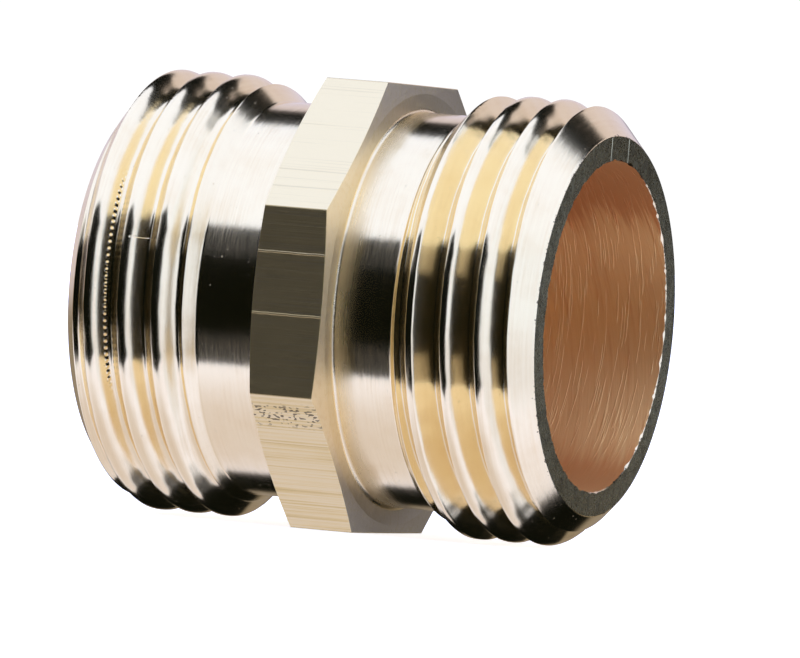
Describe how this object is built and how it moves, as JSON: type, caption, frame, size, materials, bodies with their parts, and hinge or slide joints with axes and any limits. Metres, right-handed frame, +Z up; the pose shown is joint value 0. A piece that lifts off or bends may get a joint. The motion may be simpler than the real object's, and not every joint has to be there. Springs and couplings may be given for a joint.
{
  "type": "garden hose connector",
  "caption": "Double-male garden hose connector in turned brass: two right-hand hose threads, plain necks, a central octagonal wrench collar and a plain through bore.",
  "frame": {"origin": "on the bore axis, at the middle of the octagonal collar's length", "axes": "+X along the bore axis, out of one of the two like ends; +Z up, square to a flat of the octagonal collar, so the part lies on the opposite flat"},
  "size_m": [0.0304, 0.0272, 0.0272],
  "materials": {
    "turned_brass": "bare turned brass with tool marks; the collar's flats keep the bar's straight draw lines"
  },
  "bodies": {
    "root": {"connector_body": "turned_brass"}
  },
  "joints": []
}
